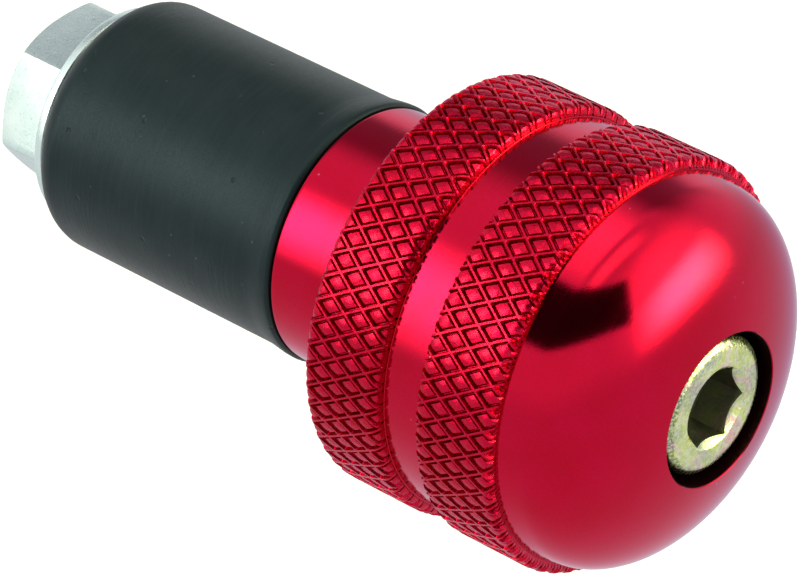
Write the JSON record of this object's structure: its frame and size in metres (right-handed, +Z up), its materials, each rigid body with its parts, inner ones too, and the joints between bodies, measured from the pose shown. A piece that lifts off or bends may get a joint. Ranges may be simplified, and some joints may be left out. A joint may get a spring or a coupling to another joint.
{
  "type": "bar end",
  "caption": "Knurled handlebar end weight with a domed nose and a recessed socket screw that draws a flanged nut against a rubber sleeve, which grips the tube from inside.",
  "frame": {"origin": "on the part's axis, in the plane of the shoulder that meets the cut end of the handlebar tube", "axes": "+X along the axis towards the domed nose, -X into the tube, +Z up"},
  "size_m": [0.0614, 0.03, 0.03],
  "materials": {
    "anodised_aluminium": "satin, anodised red",
    "yellow_zinc_steel": "zinc plated, yellow iridescent passivation",
    "black_rubber": "ground matt",
    "bright_zinc_steel": "bright zinc plated"
  },
  "bodies": {
    "weight": {"end_weight": "anodised_aluminium", "expander_sleeve": "black_rubber"},
    "screw": {"cap_screw": "yellow_zinc_steel"},
    "nut": {"expander_nut": "bright_zinc_steel"}
  },
  "joints": [
    {"name": "screw_turn", "type": "hinge", "parent": "weight", "child": "screw", "pos_m": [0, 0, 0], "axis": [-1, 0, 0], "range_deg": [0, 1080]},
    {"name": "nut_draw", "type": "slide", "parent": "weight", "child": "nut", "axis": [1, 0, 0], "range_m": [0, 0.003], "deforming": ["expander_sleeve"]}
  ],
  "couplings": [
    {"joint": "nut_draw", "follows": "screw_turn", "m_per_rad": 0.00015915}
  ]
}
